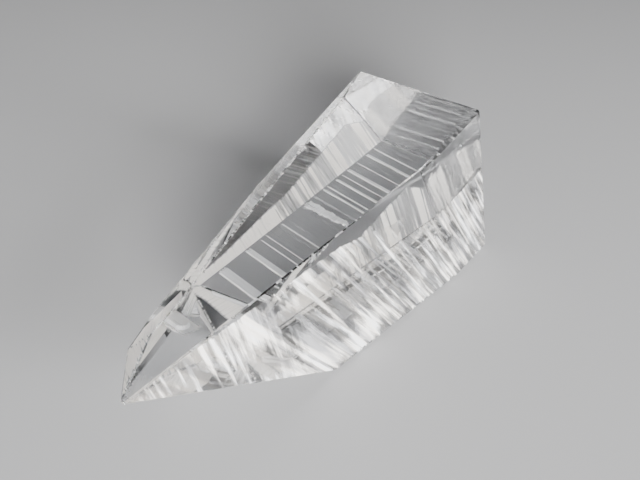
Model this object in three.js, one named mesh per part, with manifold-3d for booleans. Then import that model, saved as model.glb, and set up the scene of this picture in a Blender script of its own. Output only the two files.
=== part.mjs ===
import * as THREE from 'three';
import { mergeVertices } from 'three/addons/utils/BufferGeometryUtils.js';
import Module from 'manifold-3d';

// A polished quartz crystal, lying on its longest flat side. X runs across it, Y along its
// growth axis from the tip to the cut base, Z up. Millimetres and degrees.

// Its flat faces. tilt turns a face's outward normal about Y, from straight up towards +X,
// lean tips the normal towards the tip (-Y), and at is a point on the face.
const FACES = {
  top: { tilt: -0.3, lean: 7.7, at: [0.9, -2.8, 9.9] },
  rightFront: { tilt: 76.5, lean: 4.9, at: [5.65, 0.15, 4.85] },
  rightBack: { tilt: 74.6, lean: -1.7, at: [6.15, 13.3, 5.95] },
  base: { tilt: -63.3, lean: -83.6, at: [-1.2, 15.75, 6.05] },
  leftFront: { tilt: -77, lean: 16.6, at: [-2.0, -6.5, 7.5] },
  leftBack: { tilt: -80, lean: 13.6, at: [-4.8, 3.4, 6.5] },
  leftUnder: { tilt: -128, lean: 0.7, at: [-4.25, 2.55, 1.3] },
  pointUnder: { tilt: 169.1, lean: 31.3, at: [1.0, -10.25, 3.45] },
  pointLeft: { tilt: -82, lean: 20.8, at: [-1.6, -9.65, 4.3] },
  pointEnd: { tilt: -106.7, lean: 44.8, at: [1.2, -14.6, 6.85] },
  rest: { tilt: 180, lean: 0, at: [3.1, 7.15, 0] },
};
// Every edge between two faces is polished to a narrow flat of this width. Two are wider.
const EDGE_WIDTH = 0.12;
const WIDER_EDGES = [
  { between: ['top', 'rightBack'], width: 0.3 },
  { between: ['rightFront', 'rightBack'], width: 0.35 },
];

// The ladder: growth steps across the underside, each a shallow channel with a round end.
// y is its middle along the crystal, width and depth its section, end where it stops on +X.
const LADDER = [
  { y: -4.0, width: 0.75, depth: 0.26, end: 1.3 },
  { y: -1.4, width: 0.5, depth: 0.2, end: 1.5 },
  { y: 0.0, width: 0.16, depth: 0.08, end: 1.9 },
  { y: 0.6, width: 0.14, depth: 0.08, end: 1.6 },
  { y: 2.3, width: 0.2, depth: 0.08, end: 1.8 },
  { y: 7.5, width: 0.22, depth: 0.12, end: 1.6 },
  { y: 8.0, width: 0.18, depth: 0.1, end: 1.2 },
  { y: 9.15, width: 0.26, depth: 0.12, end: 1.5 },
  { y: 9.9, width: 0.16, depth: 0.08, end: 1.4 },
  { y: 10.75, width: 0.34, depth: 0.16, end: 1.5 },
  { y: 12.0, width: 0.14, depth: 0.08, end: 1.2 },
  { y: 13.4, width: 0.3, depth: 0.16, end: 1.5 },
  { y: 14.5, width: 0.2, depth: 0.1, end: 1.3 },
];
const LADDER_START = -6;
// A rough, broken step crosses the underside between the fine and the wide rungs.
const BROKEN_STEP = {
  y: 4.6,
  depth: 0.22,
  outline: [[-6, 0], [-0.4, 0.5], [1.5, 0.9], [1.7, 1.2], [0.6, 1.25], [-6, 1.1]],
};
// One broad ledge crosses the sloping underside of the point.
const POINT_LEDGE = { y: -10.1, width: 1.05, depth: 0.3, start: -3, end: 0.2 };
const ROUND_END_STEPS = 8;
// Cutters reach this far below the face that they cut.
const CUTTER_OVERSHOOT = 1;

const ON_PLANE = 1e-6;
const SAME_POINT = 1e-7;

const wasm = await Module();
wasm.setup();

function facePlane([name, { tilt, lean, at }]) {
  const t = THREE.MathUtils.degToRad(tilt);
  const l = THREE.MathUtils.degToRad(lean);
  const normal = new THREE.Vector3(Math.cos(l) * Math.sin(t), -Math.sin(l), Math.cos(l) * Math.cos(t));
  return { name, normal, offset: normal.dot(new THREE.Vector3(...at)) };
}

// The point that three planes share, or null where two of them are parallel.
function meetingPoint(a, b, c) {
  const bc = b.normal.clone().cross(c.normal);
  const size = a.normal.dot(bc);
  if (Math.abs(size) < ON_PLANE) return null;
  const ca = c.normal.clone().cross(a.normal);
  const ab = a.normal.clone().cross(b.normal);
  bc.multiplyScalar(a.offset).addScaledVector(ca, b.offset).addScaledVector(ab, c.offset);
  return bc.divideScalar(size);
}

// The corners of the solid that lies behind every plane.
function cornersOf(planes) {
  const corners = [];
  for (let i = 0; i < planes.length; i++) {
    for (let j = i + 1; j < planes.length; j++) {
      for (let k = j + 1; k < planes.length; k++) {
        const p = meetingPoint(planes[i], planes[j], planes[k]);
        if (!p || planes.some((q) => q.normal.dot(p) > q.offset + ON_PLANE)) continue;
        if (!corners.some((q) => q.distanceTo(p) < SAME_POINT)) corners.push(p);
      }
    }
  }
  return corners;
}

function onFace(plane, corners) {
  return corners.filter((p) => Math.abs(plane.normal.dot(p) - plane.offset) < 2 * ON_PLANE);
}

function edgeWidth(a, b) {
  const wider = WIDER_EDGES.find(({ between }) => between.includes(a.name) && between.includes(b.name));
  return wider ? wider.width : EDGE_WIDTH;
}

// One more plane for each edge, halfway between its two faces, set in until it has its width.
function polishedEdges(planes) {
  const corners = cornersOf(planes);
  const cuts = [];
  planes.forEach((a, i) => {
    planes.slice(i + 1).forEach((b) => {
      const ends = onFace(b, onFace(a, corners));
      if (ends.length < 2) return;
      const normal = a.normal.clone().add(b.normal).normalize();
      const inset = (edgeWidth(a, b) / 2) * Math.tan(a.normal.angleTo(b.normal) / 2);
      cuts.push({ normal, offset: normal.dot(ends[0]) - inset });
    });
  });
  return cuts;
}

// A closed mesh of the solid behind the planes: each face is a fan about its first corner.
function solidBehind(planes) {
  const corners = cornersOf(planes);
  const positions = [];
  for (const plane of planes) {
    const ring = onFace(plane, corners);
    if (ring.length < 3) continue;
    const middle = ring.reduce((sum, p) => sum.add(p), new THREE.Vector3()).divideScalar(ring.length);
    const across = ring[0].clone().sub(middle).normalize();
    const along = plane.normal.clone().cross(across);
    const turn = (p) => Math.atan2(p.clone().sub(middle).dot(along), p.clone().sub(middle).dot(across));
    ring.sort((p, q) => turn(p) - turn(q));
    for (let i = 1; i + 1 < ring.length; i++) {
      positions.push(...ring[0].toArray(), ...ring[i].toArray(), ...ring[i + 1].toArray());
    }
  }
  return new THREE.BufferGeometry().setAttribute('position', new THREE.Float32BufferAttribute(positions, 3));
}

function toSolid(geometry) {
  geometry.deleteAttribute('normal');
  geometry.deleteAttribute('uv');
  const merged = mergeVertices(geometry, 1e-5);
  const vertProperties = new Float32Array(merged.attributes.position.array);
  const triVerts = new Uint32Array(merged.index.array);
  return new wasm.Manifold(new wasm.Mesh({ numProp: 3, vertProperties, triVerts }));
}

function toGeometry(solid) {
  const mesh = solid.getMesh();
  const geometry = new THREE.BufferGeometry();
  geometry.setAttribute('position', new THREE.Float32BufferAttribute(mesh.vertProperties, 3));
  geometry.setIndex(new THREE.BufferAttribute(mesh.triVerts, 1));
  return geometry;
}

// A channel across the crystal with a half-round end, seen from below.
function rungOutline({ y, width, end, start = LADDER_START }) {
  const shape = new THREE.Shape();
  shape.moveTo(start, y - width / 2);
  shape.lineTo(end - width / 2, y - width / 2);
  shape.absarc(end - width / 2, y, width / 2, -Math.PI / 2, Math.PI / 2, false);
  shape.lineTo(start, y + width / 2);
  return shape;
}

function raised(shape, depth) {
  const options = { depth: depth + CUTTER_OVERSHOOT, bevelEnabled: false, curveSegments: ROUND_END_STEPS };
  return new THREE.ExtrudeGeometry(shape, options).translate(0, 0, -CUTTER_OVERSHOOT);
}

function brokenStep() {
  const points = BROKEN_STEP.outline.map(([x, y]) => new THREE.Vector2(x, BROKEN_STEP.y + y));
  return raised(new THREE.Shape(points), BROKEN_STEP.depth);
}

// The ledge is drawn flat, then turned to lie on the sloping face under the point.
function pointLedge() {
  const face = facePlane(['pointUnder', FACES.pointUnder]);
  const [x, y] = [0, POINT_LEDGE.y];
  const z = (face.offset - face.normal.x * x - face.normal.y * y) / face.normal.z;
  const flat = raised(rungOutline({ ...POINT_LEDGE, y: 0 }), POINT_LEDGE.depth);
  const turn = new THREE.Quaternion().setFromUnitVectors(new THREE.Vector3(0, 0, -1), face.normal);
  return flat.applyQuaternion(turn).translate(x, y, z);
}

function crystalGeometry() {
  const faces = Object.entries(FACES).map(facePlane);
  let solid = toSolid(solidBehind([...faces, ...polishedEdges(faces)]));
  const cutters = LADDER.map((rung) => raised(rungOutline(rung), rung.depth));
  for (const cutter of [...cutters, brokenStep(), pointLedge()]) {
    solid = solid.subtract(toSolid(cutter));
  }
  const geometry = toGeometry(solid);
  geometry.computeBoundingBox();
  const middle = geometry.boundingBox.getCenter(new THREE.Vector3());
  return geometry.translate(-middle.x, -middle.y, -geometry.boundingBox.min.z);
}

const clearQuartz = new THREE.MeshStandardMaterial({
  color: 0xe9edf2,
  roughness: 0.04,
  metalness: 0,
  transparent: true,
  opacity: 0.4,
});

const crystal = new THREE.Mesh(crystalGeometry(), clearQuartz);
crystal.name = 'crystal';

const part = new THREE.Group();
part.add(crystal);

export default part;
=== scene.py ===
import math
from itertools import combinations

import bmesh
import bpy
import numpy as np
from mathutils import Matrix, Vector


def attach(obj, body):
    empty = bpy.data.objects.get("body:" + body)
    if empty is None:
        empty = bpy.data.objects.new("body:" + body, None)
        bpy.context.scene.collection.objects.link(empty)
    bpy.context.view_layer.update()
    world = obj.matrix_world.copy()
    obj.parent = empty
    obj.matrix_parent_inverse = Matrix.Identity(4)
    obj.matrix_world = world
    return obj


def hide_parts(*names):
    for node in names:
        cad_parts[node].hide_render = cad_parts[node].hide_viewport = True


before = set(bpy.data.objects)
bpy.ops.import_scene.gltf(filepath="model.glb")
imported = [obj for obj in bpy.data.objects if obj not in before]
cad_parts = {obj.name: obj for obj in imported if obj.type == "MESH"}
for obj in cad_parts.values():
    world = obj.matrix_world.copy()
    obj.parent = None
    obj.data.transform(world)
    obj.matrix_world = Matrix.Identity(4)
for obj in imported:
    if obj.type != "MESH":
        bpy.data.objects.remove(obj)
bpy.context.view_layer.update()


# The crystal's flat faces. One clear quartz point, grown with its tip along -Y and then cut and
# polished flat on every side, lies on its longest flat side, with X across it and Z up. These
# numbers are millimetres and degrees.
FACES = {
    # tilt turns a face's outward normal about Y, from straight up towards +X, lean tips the normal
    # towards the tip, and the last three are a point on the face.
    "top": (-0.3, 7.7, (0.9, -2.8, 9.9)),
    "rightFront": (76.5, 4.9, (5.65, 0.15, 4.85)),
    "rightBack": (74.6, -1.7, (6.15, 13.3, 5.95)),
    "base": (-63.3, -83.6, (-1.2, 15.75, 6.05)),
    "leftFront": (-77, 16.6, (-2.0, -6.5, 7.5)),
    "leftBack": (-80, 13.6, (-4.8, 3.4, 6.5)),
    "leftUnder": (-128, 0.7, (-4.25, 2.55, 1.3)),
    "pointUnder": (169.1, 31.3, (1.0, -10.25, 3.45)),
    "pointLeft": (-82, 20.8, (-1.6, -9.65, 4.3)),
    "pointEnd": (-106.7, 44.8, (1.2, -14.6, 6.85)),
    "rest": (180, 0, (3.1, 7.15, 0)),
}
# Every edge is polished to a narrow flat of this width, and two of them to a wider one.
EDGE_WIDTH = 0.12
WIDER_EDGES = {("top", "rightBack"): 0.3, ("rightFront", "rightBack"): 0.35}
ON_PLANE = 1e-6


def face_planes():
    """Outward normals and offsets: the normal is straight up, turned by tilt and tipped by lean."""
    tilt, lean = np.radians([[t, l] for t, l, at in FACES.values()]).T
    at = np.array([at for t, l, at in FACES.values()], float)
    normals = np.column_stack([
        np.cos(lean) * np.sin(tilt),
        -np.sin(lean),
        np.cos(lean) * np.cos(tilt),
    ])
    return normals, (normals * at).sum(1)


def corners_of(normals, offsets):
    """The points that three planes share and that no plane cuts off, one row per three planes."""
    threes = np.array(list(combinations(range(len(normals)), 3)))
    threes = threes[np.abs(np.linalg.det(normals[threes])) > ON_PLANE]
    points = np.linalg.solve(normals[threes], offsets[threes][..., None])[..., 0]
    return points[(points @ normals.T <= offsets + ON_PLANE).all(1)]


def polished_edges(normals, offsets):
    """One narrow plane for each edge, halfway between its two faces, set in until it has its width."""
    names = list(FACES)
    corners = corners_of(normals, offsets)
    on = np.abs(corners @ normals.T - offsets) < 2 * ON_PLANE
    cuts = []
    for a, b in combinations(range(len(names)), 2):
        ends = corners[on[:, a] & on[:, b]]
        if len(ends) < 2 or np.ptp(ends, axis=0).max() < ON_PLANE:
            continue
        middle = normals[a] + normals[b]
        middle /= np.linalg.norm(middle)
        half_angle = math.acos(normals[a] @ normals[b]) / 2
        width = WIDER_EDGES.get((names[a], names[b]), EDGE_WIDTH)
        cuts.append((*middle, middle @ ends[0] - width / 2 * math.tan(half_angle)))
    cuts = np.array(cuts)
    return cuts[:, :3], cuts[:, 3]


face_normals, face_offsets = face_planes()
edge_normals, edge_offsets = polished_edges(face_normals, face_offsets)
normals = np.vstack([face_normals, edge_normals])
offsets = np.concatenate([face_offsets, edge_offsets])
corners = corners_of(normals, offsets)
middle = (corners.min(0) + corners.max(0)) / 2
centre = np.array([middle[0], middle[1], corners[:, 2].min()])


# The crystal's growth steps. It grew a ladder across its underside: shallow channels square to its
# axis, with frosted walls and round ends on +X, one broken step, and one ledge under the point. What
# wasn't polished clear keeps frost and fine growth lines.
LADDER = np.array([
    # middle y, width, depth, end on +X
    (-4.0, 0.75, 0.26, 1.3),
    (-1.4, 0.5, 0.2, 1.5),
    (0.0, 0.16, 0.08, 1.9),
    (0.6, 0.14, 0.08, 1.6),
    (2.3, 0.2, 0.08, 1.8),
    (7.5, 0.22, 0.12, 1.6),
    (8.0, 0.18, 0.1, 1.2),
    (9.15, 0.26, 0.12, 1.5),
    (9.9, 0.16, 0.08, 1.4),
    (10.75, 0.34, 0.16, 1.5),
    (12.0, 0.14, 0.08, 1.2),
    (13.4, 0.3, 0.16, 1.5),
    (14.5, 0.2, 0.1, 1.3),
])
STEP_WALL = 0.05
RUNG_FROST, RUNG_FROST_DEPTHS = 1.8, (0.02, 0.07)
# The broken step's outlines are x and y, y from its own place along the crystal. Two waves, each a
# height, a rate and a start, make them ragged, and its floor is uneven by a share of its depth.
BROKEN_Y, BROKEN_DEPTH, BROKEN_END, BROKEN_WALL = 4.6, 0.22, 1.7, 0.09
BROKEN_FRONT = [(-6, 0), (-0.4, 0.5), (1.5, 0.9), (1.7, 1.05)]
BROKEN_BACK = [(-6, 1.1), (0.6, 1.25), (1.7, 1.15)]
BROKEN_WAVES = [(0.05, 5.1, 0), (0.03, 13.7, 1)]
BROKEN_UNEVEN, BROKEN_UNEVEN_RATES = 0.25, (9, 4)
BROKEN_FROST, BROKEN_FROST_DEPTHS = 1.4, (0.03, 0.1)
LEDGE_Y, LEDGE_WIDTH, LEDGE_DEPTH, LEDGE_END, LEDGE_WALL = -10.1, 1.05, 0.3, 0.2, 0.07
# Steps and lines fade out over this distance from the edges of their side.
EDGE_MARGIN = 0.12

# Each set of growth lines is a seed, its longest and its shortest wave, and how many waves it has if
# that isn't the usual number. Where two numbers stand for a place, something begins between them.
FINE_DEPTH = 0.014
STRIP_START, STRIP_LINES = (1.3, 2.3), (3, 1.7, 0.2)
STRIP_FROST, STRIP_FROST_RANGE, STRIP_FROST_LINES = 0.5, 0.2, (11, 1.2, 0.2)
# Faint lines lie between the steps, behind the first two, and more of them behind the broken step.
FAINT_FROST, FAINT_START = 0.28, (-2, 1)
FAINT_LINES, FAINT_FROM = (31, 0.9, 0.17, 8), (0.2, 1.1)
MORE_FAINT_FROST, MORE_START, MORE_END = 0.45, (5.2, 6), (9, 7.5)

# Frost of 1 is full white, and more than 1 leaves no clear streaks in it.
FULL_FROST = 2
# The frosted bar on the ledge: middle y, half its width, its end on +X, and how soft its edge is.
BAR_Y, BAR_HALF, BAR_END, BAR_EDGE = -9.95, 0.72, 0.7, 0.1
# The left sides are frosted below these lines of y and z, thickly towards the tip, and in streaks
# that begin between these two y.
FROST_LINES = {
    "leftUnder": [
        (-8, 0.5), (-3.4, 0.75), (0.4, 1.2), (4.7, 1.65), (9.2, 2.5), (13.3, 3.35), (15.2, 2.6),
    ],
    "pointLeft": [(-13, 7.8), (-10.4, 5.5), (-8.5, 3.7), (-7.9, 1)],
}
FROST_EDGE = 0.1
THICK_FROST, STREAK_LEAST, STREAK_RANGE = 1.7, 0.3, 1.7
STREAKS_START, STREAK_LINES, STREAK_FROM = (1.5, 3.5), (21, 4.5, 0.3, 9), (-0.3, 0.9)
LEFT_LINES, LEFT_LINES_SHARE = (14, 1.3, 0.22), 0.15
# How frosted the other sides are, and the height above which the frost begins, over VEIL_EDGE.
VEILS = {
    "leftFront": (0.35, 6.4),
    "leftBack": (0.35, 6.4),
    "pointEnd": (2, 0),
    "base": (0.08, 0),
}
VEIL_EDGE, VEIL_UNEVEN, VEIL_LINES = 1, 0.12, (15, 2.5, 0.3)
# The right sides are milky below two lines of y and z. The upper one ends at a slant, which passes
# through y and z at a slope.
MILK_TOP = [(-17, 8.18), (-1.2, 9.2), (5.5, 8.3)]
MILK_LOW = [(-17, 6.2), (3.9, 6.8), (9.7, 6.97), (17, 7.5)]
MILK_END_Y, MILK_END_Z, MILK_END_SLOPE = 3.9, 6.8, 1.03

# Growth lines drift across the crystal: how far their phase wanders slowly and quickly, how fast it
# does, and how much less the short waves count.
SLOW_DRIFT, SLOW_RATE, RATE_STEP = 0.7, 0.3, 0.06
QUICK_DRIFT, QUICK_RATE = 0.2, 1.7
SHORT_WAVE_POWER = 0.35


def smooth(low, high, value):
    """0 below low, 1 above high, and a smooth S between them. With low above high, it falls."""
    t = np.clip((value - low) / (high - low), 0, 1)
    return t * t * (3 - 2 * t)


def line_noise(along, across, seed, longest, shortest, waves=14):
    """A sum of cosines along the axis, from long to short, whose phase drifts slowly across it."""
    rng = np.random.default_rng(seed)
    lengths = longest * (shortest / longest) ** (np.arange(waves) / (waves - 1))
    phase, drift, bend = rng.uniform(0, 2 * math.pi, (3, waves))
    total = 0
    for k in range(waves):
        wander = SLOW_DRIFT * np.sin(across * (SLOW_RATE + RATE_STEP * k) + drift[k])
        wander = phase[k] + wander + QUICK_DRIFT * np.sin(across * QUICK_RATE + bend[k])
        height = (lengths[k] / longest) ** SHORT_WAVE_POWER
        total = total + np.cos(2 * math.pi * along / lengths[k] + wander) * height
    return total / math.sqrt(waves)


def fine_lines(along, across, lines):
    """The depth of growth lines: FINE_DEPTH times one more than their noise, and never less than 0."""
    return FINE_DEPTH * np.maximum(1 + line_noise(along, across, *lines), 0)


def into_channel(x, y, y_middle, width, end):
    """How far inside a channel with a round end a point is: half its width, less the distance from
    its middle line."""
    return width / 2 - np.hypot(np.maximum(x - (end - width / 2), 0), y - y_middle)


def rung_depth(x, y):
    """The depth of the deepest channel at a point, reached over the width of its steep wall."""
    depth = np.zeros_like(x)
    for y_middle, width, deep, end in LADDER:
        inside = into_channel(x, y, y_middle, width, end)
        depth = np.maximum(depth, deep * smooth(0, STEP_WALL, inside))
    return depth


def broken_depth(x, y):
    """The broken step's depth between its front and back outlines, both moved by the same waves."""
    ragged = sum(height * np.sin(rate * x + start) for height, rate, start in BROKEN_WAVES)
    front = BROKEN_Y + np.interp(x, *np.transpose(BROKEN_FRONT)) + ragged
    back = BROKEN_Y + np.interp(x, *np.transpose(BROKEN_BACK)) + ragged
    inside = np.minimum(np.minimum(y - front, back - y), BROKEN_END - x)
    x_rate, y_rate = BROKEN_UNEVEN_RATES
    uneven = 1 + BROKEN_UNEVEN * np.sin(x_rate * x + y_rate * y)
    return BROKEN_DEPTH * smooth(0, BROKEN_WALL, inside) * uneven


def underside(x, y):
    """Depth and frost of the side that the crystal lies on: the deeper of the channels and the broken
    step, with fine lines on its strip, and faint frosted lines between the steps."""
    rungs, broken = rung_depth(x, y), broken_depth(x, y)
    strip = smooth(*STRIP_START, x)
    depth = np.maximum(rungs, broken) + strip * fine_lines(y, x, STRIP_LINES)
    faint = FAINT_FROST + MORE_FAINT_FROST * smooth(*MORE_START, y) * smooth(*MORE_END, y)
    faint = faint * smooth(*FAINT_FROM, line_noise(y, x, *FAINT_LINES)) * smooth(*FAINT_START, y)
    on_strip = strip * (STRIP_FROST + STRIP_FROST_RANGE * line_noise(y, x, *STRIP_FROST_LINES))
    on_rungs = RUNG_FROST * smooth(*RUNG_FROST_DEPTHS, rungs)
    on_broken = BROKEN_FROST * smooth(*BROKEN_FROST_DEPTHS, broken)
    return depth, np.maximum(np.maximum(on_rungs, on_broken), np.maximum(faint, on_strip))


def point_underside(x, y):
    """Depth and frost of the slope under the point: the ledge's channel, and the bar on it."""
    depth = LEDGE_DEPTH * smooth(0, LEDGE_WALL, into_channel(x, y, LEDGE_Y, LEDGE_WIDTH, LEDGE_END))
    into_bar = np.minimum(BAR_HALF - np.abs(y - BAR_Y), BAR_END - x)
    return depth, FULL_FROST * smooth(0, BAR_EDGE, into_bar)


def frosted_left(name, y, z):
    """How frosted a left side is: thickly below its line as far as the broken step, and in streaks
    below it from there to the base."""
    below = np.interp(y, *np.transpose(FROST_LINES[name])) - z
    streaks = smooth(*STREAK_FROM, line_noise(y, z, *STREAK_LINES))
    streaks = STREAK_LEAST + STREAK_RANGE * streaks
    amount = THICK_FROST + smooth(*STREAKS_START, y) * (streaks - THICK_FROST)
    return smooth(-FROST_EDGE, FROST_EDGE, below) * amount


def veiled(name, y, z):
    """A thin frost that begins above a height, made uneven by growth lines."""
    amount, height = VEILS[name]
    uneven = 1 + VEIL_UNEVEN * line_noise(y, z, *VEIL_LINES)
    return amount * smooth(height, height + VEIL_EDGE, z) * uneven


def milky_right(y, z):
    """How far inside the milky part of the right sides a point is: below a line near the top edge as
    far as a slanting end, and below a lower line from there to the base."""
    top_line = np.interp(y, *np.transpose(MILK_TOP))
    low_line = np.interp(y, *np.transpose(MILK_LOW))
    slanting_end = MILK_END_Y + MILK_END_SLOPE * (z - MILK_END_Z) - y
    return np.maximum(np.minimum(top_line - z, slanting_end), low_line - z)


# The crystal's mesh, one closed skin of quartz. Its faces and polished edges cut each section square
# to the axis into a polygon, and the sections are carried from the tip to the base and joined.
MM = 0.001
STATION_GAP = 0.085
NEAREST_STATIONS = 0.006
END_GAP = 0.004
SAME_POINT, NO_LENGTH = 2e-7, 1e-8
# The sides that carry steps or frost are divided where these lines cross them, given as x on the two
# under sides and as z on the others, closer together where an outline or a wall needs it.
ACROSS, UPWARD = 0, 1
SIDE_LINES = {
    "rest": (ACROSS, [(-3.6, 0.9, 0.19), (0.9, 2.0, 0.065), (2.0, 8.0, 0.2)]),
    "pointUnder": (ACROSS, [(-3.5, -0.2, 0.25), (-0.2, 0.4, 0.08), (0.4, 7.5, 0.3)]),
    "rightFront": (UPWARD, [(0.4, 12, 0.5)]),
    "rightBack": (UPWARD, [(0.4, 12.5, 0.5)]),
    "base": (UPWARD, [(12.4, 0, -0.8)]),
    "leftUnder": (UPWARD, [(5.8, 3.7, -0.3), (3.6, 0, -0.09)]),
    "leftBack": (UPWARD, [(12.2, 2, -0.8)]),
    "leftFront": (UPWARD, [(12.2, 2, -0.8)]),
    "pointLeft": (UPWARD, [(8.8, 2, -0.12)]),
    "pointEnd": (UPWARD, [(8.4, 4, -0.5)]),
}


def stations():
    """Places along Y: even steps, every corner, and both walls of every channel, without near
    doubles."""
    y, width = LADDER[:, 0], LADDER[:, 1]
    on_wall = (0, STEP_WALL / 2, STEP_WALL)
    walls = [y + side * (width / 2 - inward) for side in (-1, 1) for inward in on_wall]
    low, high = corners[:, 1].min() + END_GAP, corners[:, 1].max() - END_GAP
    all_y = np.sort(np.concatenate([np.arange(low, high, STATION_GAP), corners[:, 1], *walls]))
    all_y = all_y[(all_y > low) & (all_y < high)]
    return np.concatenate([[low], all_y[np.diff(all_y, prepend=low) > NEAREST_STATIONS], [high]])


def sections(y):
    """Each plane cuts the section at y in the line a.x + b.z = d. Its side of the polygon runs between
    the last place where another line comes in and the first where one goes out. A plane that misses
    the section keeps no length, at the end of the side before it. Returns starts and ends, in turning
    order."""
    order = np.argsort(np.arctan2(normals[:, 2], normals[:, 0]))
    a, b = normals[order, 0], normals[order, 2]
    d = offsets[order] - np.outer(y, normals[order, 1])
    size = np.hypot(a, b)
    rate = (a[:, None] * b[None] - b[:, None] * a[None]) / size[:, None]
    alike = (a[:, None] * a[None] + b[:, None] * b[None]) / (size**2)[:, None]
    room = d[:, None, :] - d[:, :, None] * alike
    with np.errstate(divide="ignore", invalid="ignore"):
        limit = room / rate
    high = np.where(rate > ON_PLANE, limit, np.inf).min(2)
    low = np.where(rate < -ON_PLANE, limit, -np.inf).max(2)
    foot = d[..., None] * np.stack([a, b], 1) / (size**2)[:, None]
    along = np.stack([-b, a], 1) / size[:, None]
    start, end = foot + low[..., None] * along, foot + high[..., None] * along
    cut = high - low > ON_PLANE
    place = np.where(np.tile(cut, 2), np.arange(2 * len(a)), 0)
    last = np.maximum.accumulate(place, axis=1)[:, len(a):] % len(a)
    held = np.take_along_axis(end, last[..., None], axis=1)
    keep = cut[..., None]
    return order, np.where(keep, start, held), np.where(keep, end, held)


def crystal_grid():
    """Rings of points, one for each station, with every side's points from its start to its end, at
    the start and wherever one of its lines crosses it. Returns the side of each column too."""
    y = stations()
    order, start, end = sections(y)
    names = list(FACES)
    columns, tags = [], []
    for i, plane in enumerate(order):
        name = names[plane] if plane < len(names) else "edge"
        share = np.zeros((len(y), 1))
        if name in SIDE_LINES:
            axis, spans = SIDE_LINES[name]
            lines = np.concatenate([np.arange(*span) for span in spans])
            first, last = start[:, i, axis : axis + 1], end[:, i, axis : axis + 1]
            place = np.clip(lines, np.minimum(first, last), np.maximum(first, last))
            reach = last - first
            along_side = (place - first) / np.where(reach == 0, 1, reach)
            share = np.hstack([share, np.where(np.abs(reach) > ON_PLANE, along_side, 0)])
        columns.append(start[:, None, i] + share[..., None] * (end - start)[:, None, i])
        tags += [name] * share.shape[1]
    ring = np.concatenate(columns, axis=1)
    along = np.broadcast_to(y[:, None], ring.shape[:2])
    return np.stack([ring[..., 0], along, ring[..., 1]], -1), np.array(tags)


def grow_steps(grid, tags):
    """Sinks each side's steps and lines into it, along its normal and clear of its own edges. Returns
    the points, how frosted each one is, how far inside the milky part it is, and how creamy."""
    points = grid.copy()
    frost, cream = np.zeros(grid.shape[:2]), np.zeros(grid.shape[:2])
    milk = np.full(grid.shape[:2], -1.0)
    for name, (axis, _) in SIDE_LINES.items():
        on = tags == name
        x, y, z = np.moveaxis(grid[:, on], -1, 0)
        if name.startswith("right"):
            milk[:, on] = np.clip(milky_right(y, z), -1, 1)
            continue
        depth = 0
        if name == "rest":
            depth, rough = underside(x, y)
        elif name == "pointUnder":
            depth, rough = point_underside(x, y)
        elif name in FROST_LINES:
            rough = frosted_left(name, y, z)
            depth = rough * LEFT_LINES_SHARE * fine_lines(y, z, LEFT_LINES)
        else:
            rough = veiled(name, y, z)
        frost[:, on] = np.clip(rough, 0, FULL_FROST)
        if name in FROST_LINES or name in VEILS:
            cream[:, on] = np.clip(rough, 0, 1)
        across = (x, z)[axis]
        low, high = across.min(1, keepdims=True), across.max(1, keepdims=True)
        depth = depth * smooth(0, EDGE_MARGIN, np.minimum(across - low, high - across))
        points[:, on] -= depth[..., None] * face_normals[list(FACES).index(name)]
    return points, frost, milk, cream


def closed_mesh(name, grid, frost, milk, cream):
    """Quads between neighbouring points of neighbouring rings, and a fan from each end ring to its
    middle. Points that fall together are merged."""
    rows, columns = grid.shape[:2]
    first = np.arange(rows * columns).reshape(rows, columns)
    turned = np.roll(first, -1, axis=1)
    quads = np.stack([first[:-1], turned[:-1], turned[1:], first[1:]], -1).reshape(-1, 4)
    tip, back = rows * columns, rows * columns + 1
    fans = np.vstack([
        np.stack([turned[0], first[0], np.full(columns, tip)], -1),
        np.stack([first[-1], turned[-1], np.full(columns, back)], -1),
    ])
    points = np.vstack([grid.reshape(-1, 3), grid[0].mean(0), grid[-1].mean(0)])
    mesh = bpy.data.meshes.new(name)
    mesh.from_pydata((points - centre) * MM, [], quads.tolist() + fans.tolist())
    for label, values, at_ends in (("frost", frost, 0), ("milk", milk, -1), ("cream", cream, 0)):
        values = np.append(values.ravel(), [at_ends, at_ends]).astype(np.float32)
        mesh.attributes.new(label, "FLOAT", "POINT").data.foreach_set("value", values)
    work = bmesh.new()
    work.from_mesh(mesh)
    bmesh.ops.remove_doubles(work, verts=work.verts, dist=SAME_POINT)
    bmesh.ops.dissolve_degenerate(work, edges=work.edges, dist=NO_LENGTH)
    bmesh.ops.recalc_face_normals(work, faces=work.faces)
    work.to_mesh(mesh)
    work.free()
    piece = bpy.data.objects.new(name, mesh)
    bpy.context.scene.collection.objects.link(piece)
    return piece


crystal = closed_mesh("clear_crystal", *grow_steps(*crystal_grid()))


# The crystal's finish. Colourless quartz is polished bright on its flat faces and stays frosted white
# where it grew in steps. The right sides are milky with fine fibres, the left ones creamy. Quartz
# bends light by 1.544 and takes up next to none of it.
QUARTZ_IOR = 1.544
QUARTZ_TINT, QUARTZ_TAKES_UP = (0.9, 0.94, 0.97, 1), 4.0
CLEAR_COLOUR = (0.985, 0.99, 1.0, 1)
CREAM_COLOUR, CREAM_AT = (1.0, 0.955, 0.89, 1), 0.4
GREY_FIBRE_COLOUR = (0.38, 0.38, 0.39, 1)
# Roughness of full frost, and how much light passes straight through clear and frosted quartz.
FROSTED_ROUGHNESS = 0.42
CLEAR_THROUGH, FROSTED_THROUGH = 1.0, 0.1
RELIEF = 0.00003
# Where a set of four numbers carries a noise to a share, the first two are the noise's range and the
# last two what it becomes.
# Growth lines: how many to the metre, their pattern's squeeze along each axis, and what they leave
# of the frost.
LINES_PER_METRE, LINE_SQUEEZE, LINE_DETAIL = 5200, (0.06, 1, 0.06), 3
LEFT_BY_LINES = (0.35, 0.6, 0.4, 1)
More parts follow.
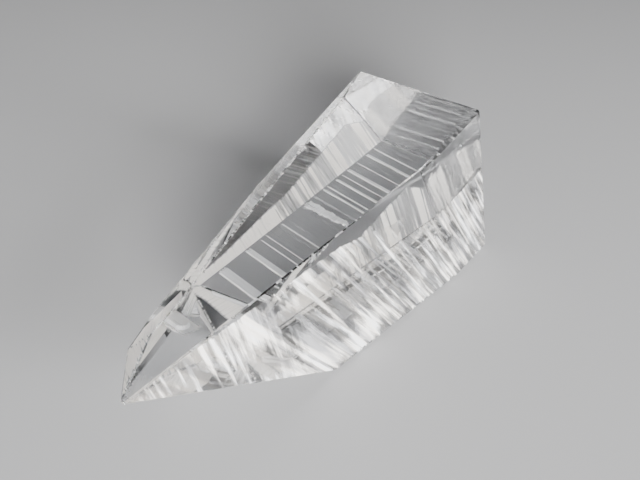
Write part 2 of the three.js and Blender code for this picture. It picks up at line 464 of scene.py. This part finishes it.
# Unit vectors along the fibres of the milky part, in its middle and near the tip, and square to them,
# and the two places along Y between which one gives way to the other, in metres.
FIBRE, FIBRE_ACROSS = (0.24, 0.55, -0.8), (-0.05, 0.83, 0.55)
TIP_FIBRE, TIP_FIBRE_ACROSS = (0.245, 0.15, -0.96), (-0.04, 0.99, 0.14)
TIP_FIBRES_FROM, TIP_FIBRES_ONLY = -0.004, -0.010
FIBRES_PER_METRE, FIBRE_DETAIL, FIBRE_LENGTH = 2600, 4, 16
GREY_FIBRES_PER_METRE, GREY_FIBRES = 1100, (0.42, 0.58, 1, 0)
CLOUDS_PER_METRE, CLOUD_DETAIL = 260, 2
# Fibres count this much more than clouds in the milky cover, and fray its outline by this many mm.
FIBRE_WEIGHT, FRAYED = 1.3, 0.2
MILKY_COVER, MILK_EDGE = (1.07, 1.35, 0.05, 0.9), (-0.03, 0.07)
RELIEF_FULL_AT = 0.5


def quartz_finish():
    """Clear quartz whose roughness and see-through share follow the frost and the milky cover."""
    material = bpy.data.materials.new("clear quartz")
    material.use_nodes = True
    nodes, links = material.node_tree.nodes, material.node_tree.links
    shader = nodes["Principled BSDF"]
    shader.inputs["IOR"].default_value = QUARTZ_IOR
    place = nodes.new("ShaderNodeTexCoord").outputs["Object"]

    def ramp(value, from_low, from_high, to_low=0.0, to_high=1.0):
        """value carried from one range to another, in a straight line and held at both ends."""
        node = nodes.new("ShaderNodeMapRange")
        ends = {"From Min": from_low, "From Max": from_high, "To Min": to_low, "To Max": to_high}
        for socket, number in ends.items():
            node.inputs[socket].default_value = number
        links.new(value, node.inputs["Value"])
        return node.outputs["Result"]

    def combine(operation, first, second):
        """Two values, each a number or a node's output, put together by one operation."""
        node = nodes.new("ShaderNodeMath")
        node.operation = operation
        for socket, value in zip(node.inputs, (first, second)):
            if isinstance(value, (int, float)):
                socket.default_value = value
            else:
                links.new(value, socket)
        return node.outputs["Value"]

    def noise(vector, scale, detail):
        """Cloudy noise about 0.5, with scale waves to the metre of vector."""
        node = nodes.new("ShaderNodeTexNoise")
        node.inputs["Scale"].default_value = scale
        node.inputs["Detail"].default_value = detail
        links.new(vector, node.inputs["Vector"])
        return node.outputs["Fac"]

    def attribute(label):
        """A number that the mesh keeps at each point."""
        node = nodes.new("ShaderNodeAttribute")
        node.attribute_name = label
        return node.outputs["Fac"]

    def along(direction, factor):
        """The distance along a direction, times factor."""
        node = nodes.new("ShaderNodeVectorMath")
        node.operation = "DOT_PRODUCT"
        node.inputs[1].default_value = [factor * part for part in direction]
        links.new(place, node.inputs[0])
        return node.outputs["Value"]

    def fibres(direction, across, per_metre):
        """Noise drawn out along the fibres to FIBRE_LENGTH times its width."""
        node = nodes.new("ShaderNodeCombineXYZ")
        links.new(along(direction, 1 / FIBRE_LENGTH), node.inputs["X"])
        links.new(along(across, 1), node.inputs["Y"])
        return noise(node.outputs["Vector"], per_metre, FIBRE_DETAIL)

    squeeze = nodes.new("ShaderNodeMapping")
    squeeze.inputs["Scale"].default_value = LINE_SQUEEZE
    links.new(place, squeeze.inputs["Vector"])
    lines = noise(squeeze.outputs["Vector"], LINES_PER_METRE, LINE_DETAIL)
    steps = combine("MULTIPLY", attribute("frost"), ramp(lines, *LEFT_BY_LINES))

    fibre = nodes.new("ShaderNodeMix")
    links.new(ramp(along((0, 1, 0), 1), TIP_FIBRES_FROM, TIP_FIBRES_ONLY), fibre.inputs["Factor"])
    links.new(fibres(FIBRE, FIBRE_ACROSS, FIBRES_PER_METRE), fibre.inputs["A"])
    links.new(fibres(TIP_FIBRE, TIP_FIBRE_ACROSS, FIBRES_PER_METRE), fibre.inputs["B"])
    fibre = fibre.outputs["Result"]
    cloud = noise(place, CLOUDS_PER_METRE, CLOUD_DETAIL)
    thickness = combine("ADD", combine("MULTIPLY", fibre, FIBRE_WEIGHT), cloud)
    cover = ramp(thickness, *MILKY_COVER)
    fray = combine("MULTIPLY", combine("SUBTRACT", fibre, 0.5), FRAYED)
    in_milk = ramp(combine("ADD", attribute("milk"), fray), *MILK_EDGE)
    grown = combine("MAXIMUM", steps, combine("MULTIPLY", in_milk, cover))

    shade = nodes.new("ShaderNodeValToRGB")
    shade.color_ramp.elements[0].color = CLEAR_COLOUR
    shade.color_ramp.elements[1].color = GREY_FIBRE_COLOUR
    shade.color_ramp.elements.new(CREAM_AT).color = CREAM_COLOUR
    grey = ramp(fibres(FIBRE, FIBRE_ACROSS, GREY_FIBRES_PER_METRE), *GREY_FIBRES)
    cream = ramp(attribute("cream"), 0, 1, 0, CREAM_AT)
    links.new(combine("MAXIMUM", combine("MULTIPLY", in_milk, grey), cream), shade.inputs["Fac"])

    through = ramp(grown, 0, 1, CLEAR_THROUGH, FROSTED_THROUGH)
    bump = nodes.new("ShaderNodeBump")
    bump.inputs["Distance"].default_value = RELIEF
    links.new(ramp(grown, 0, RELIEF_FULL_AT), bump.inputs["Strength"])
    links.new(combine("ADD", lines, fibre), bump.inputs["Height"])
    links.new(shade.outputs["Color"], shader.inputs["Base Color"])
    links.new(ramp(grown, 0, 1, 0, FROSTED_ROUGHNESS), shader.inputs["Roughness"])
    links.new(through, shader.inputs["Transmission Weight"])
    links.new(bump.outputs["Normal"], shader.inputs["Normal"])

    inside = nodes.new("ShaderNodeVolumeAbsorption")
    inside.inputs["Color"].default_value = QUARTZ_TINT
    inside.inputs["Density"].default_value = QUARTZ_TAKES_UP
    links.new(inside.outputs["Volume"], nodes["Material Output"].inputs["Volume"])
    return material


crystal.data.materials.append(quartz_finish())
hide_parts("crystal")
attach(crystal, "root")


# The studio: a plain pale floor a hair below the crystal, two soft lights low on its right, so that
# its top mirrors neither of them, and the camera. Metres, but for the camera's place, which is in
# the faces' millimetres.
FLOOR_HALF = 0.9
FLOOR_DROP = 0.00004
FLOOR_COLOUR, FLOOR_ROUGHNESS = (0.43, 0.43, 0.435, 1), 0.6

floor_mesh = bpy.data.meshes.new("floor")
floor_signs = ((-1, -1), (1, -1), (1, 1), (-1, 1))
floor_corners = [(x * FLOOR_HALF, y * FLOOR_HALF, -FLOOR_DROP) for x, y in floor_signs]
floor_mesh.from_pydata(floor_corners, [], [(0, 1, 2, 3)])
floor = bpy.data.objects.new("floor", floor_mesh)
bpy.context.scene.collection.objects.link(floor)
floor_paint = bpy.data.materials.new("pale floor")
floor_paint.use_nodes = True
floor_shader = floor_paint.node_tree.nodes["Principled BSDF"]
floor_shader.inputs["Base Color"].default_value = FLOOR_COLOUR
floor_shader.inputs["Roughness"].default_value = FLOOR_ROUGHNESS
floor_mesh.materials.append(floor_paint)

LIGHTS = {
    # place, size, power
    "key light": ((0.25, -0.25, 0.1), 0.16, 6.2),
    "side light": ((0.34, 0.05, 0.12), 0.14, 1.6),
}
LIT_POINT = Vector((0, 0, 0.006))
ROOM_COLOUR = (0.05, 0.05, 0.052, 1)


def soft_light(name, place, size, power):
    """A square lamp at place, turned to face the crystal's middle."""
    lamp = bpy.data.lights.new(name, "AREA")
    lamp.size = size
    lamp.energy = power
    holder = bpy.data.objects.new(name, lamp)
    holder.location = place
    aim = LIT_POINT - Vector(place)
    holder.rotation_euler = aim.to_track_quat("-Z", "Y").to_euler()
    bpy.context.scene.collection.objects.link(holder)


for light_name, light in LIGHTS.items():
    soft_light(light_name, *light)

world = bpy.data.worlds.new("studio")
world.use_nodes = True
world.node_tree.nodes["Background"].inputs["Color"].default_value = ROOM_COLOUR
bpy.context.scene.world = world

LENS, SENSOR_WIDTH, NEAREST_SEEN = 32.57, 36, 0.001
CAMERA_MM = np.array([20.26, -23.9, 33.31])
CAMERA_RIGHT = Vector((0.7597, 0.6475, 0.0597))
CAMERA_AHEAD = Vector((-0.4622, 0.6024, -0.6508))

right, ahead = CAMERA_RIGHT.normalized(), CAMERA_AHEAD.normalized()
up = right.cross(ahead).normalized()
camera_data = bpy.data.cameras.new("camera")
camera_data.lens = LENS
camera_data.sensor_width = SENSOR_WIDTH
camera_data.clip_start = NEAREST_SEEN
camera = bpy.data.objects.new("camera", camera_data)
turn = Matrix((right, up, -ahead)).transposed().to_4x4()
camera.matrix_world = Matrix.Translation((CAMERA_MM - centre) * MM) @ turn
bpy.context.scene.collection.objects.link(camera)
bpy.context.scene.camera = camera

bpy.context.view_layer.update()
